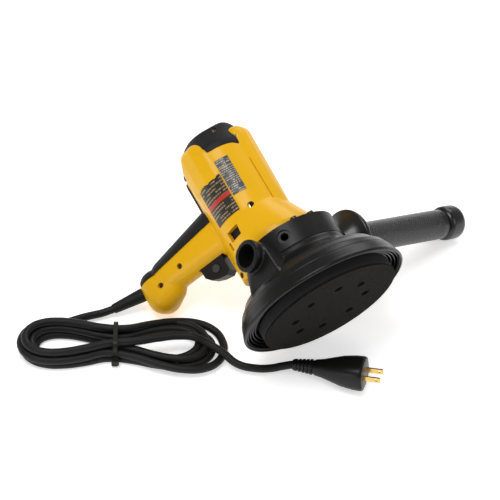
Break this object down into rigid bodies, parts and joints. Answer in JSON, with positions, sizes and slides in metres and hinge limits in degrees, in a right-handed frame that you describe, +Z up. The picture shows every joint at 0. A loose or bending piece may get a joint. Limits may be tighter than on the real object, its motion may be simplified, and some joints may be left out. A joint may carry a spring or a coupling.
{
  "type": "rotary polisher",
  "caption": "Pistol-grip electric polisher with an orbiting disc pad, dust shroud, side handle and corded plug, lying at rest",
  "frame": {"origin": "middle of the tool outline on the table it lies on", "axes": "+Z up from the table, +X along the longer side of the lying tool, +Y away from the pad face side"},
  "size_m": [0.4855, 0.2682, 0.1813],
  "materials": {
    "yellow_shell": "satin",
    "black_plastic": "matte",
    "black_rubber": "matte",
    "steel": "brushed",
    "alloy": "painted",
    "brass": "polished",
    "copper_wound": "wound",
    "label": "printed",
    "grey_plastic": "matte",
    "foam": "foam",
    "hook": "hooks",
    "dark_steel": "black oxide",
    "carbon": "matte"
  },
  "bodies": {
    "tool": {"housing_right": "yellow_shell", "housing_left": "yellow_shell", "end_cap": "black_rubber", "end_cap_screws": "dark_steel", "grip_sleeve": "black_rubber", "rear_strip": "black_rubber", "housing_screws": "dark_steel", "gear_case": "alloy", "gear_case_screws": "dark_steel", "shroud": "black_plastic", "stator": "steel", "brush_holders": "brass", "carbon_brushes": "carbon", "brush_springs": "steel", "motor_bearings": "steel", "spindle_bearings": "steel", "switch_body": "black_plastic", "handle_grip": "black_plastic", "handle_stud": "steel", "cord_guard": "black_rubber", "rating_plate": "label", "guide_plate": "label", "cord_lead": "black_rubber", "cord_hank": "black_rubber", "cord_tail": "black_rubber", "cable_tie": "black_plastic", "plug_body": "black_rubber", "plug_blades": "brass"},
    "armature": {"motor_shaft": "steel", "armature_core": "steel", "commutator": "copper_wound", "fan": "grey_plastic", "pinion": "steel"},
    "spindle": {"spindle_shaft": "steel", "drive_gear": "steel", "counterweight": "steel"},
    "pad": {"pad_bearing": "steel", "pad_hub": "alloy", "pad_plate": "black_plastic", "pad_foam": "foam", "hook_face": "hook", "pad_bolt": "steel"},
    "trigger": {"trigger": "black_plastic"},
    "dial": {"speed_dial": "grey_plastic"},
    "lock": {"lock_button": "black_plastic"}
  },
  "joints": [
    {"name": "spindle_spin", "type": "hinge", "parent": "tool", "child": "spindle", "pos_m": [0.00417, -0.03813, 0.10482], "axis": [-0.4722, 0.8128, 0.3411], "continuous": true},
    {"name": "armature_spin", "type": "hinge", "parent": "tool", "child": "armature", "pos_m": [-0.05408, 0.03221, 0.12042], "axis": [-0.4722, 0.8128, 0.3411], "continuous": true},
    {"name": "pad_spin", "type": "hinge", "parent": "spindle", "child": "pad", "pos_m": [0.02147, -0.06465, 0.09521], "axis": [-0.4722, 0.8128, 0.3411], "continuous": true},
    {"name": "trigger_pull", "type": "slide", "parent": "tool", "child": "trigger", "axis": [-0.4722, 0.8128, 0.3411], "range_m": [0, 0.0055], "stiffness_N_per_m": 900},
    {"name": "dial_turn", "type": "hinge", "parent": "trigger", "child": "dial", "pos_m": [-0.08149, -0.01234, 0.06844], "axis": [0.514, 0.5683, -0.6425], "range_deg": [-130, 130]},
    {"name": "lock_press", "type": "slide", "parent": "tool", "child": "lock", "axis": [-0.514, -0.5683, 0.6425], "range_m": [0, 0.0028], "stiffness_N_per_m": 700}
  ],
  "couplings": [
    {"joint": "armature_spin", "follows": "spindle_spin", "ratio": -3.5833}
  ]
}
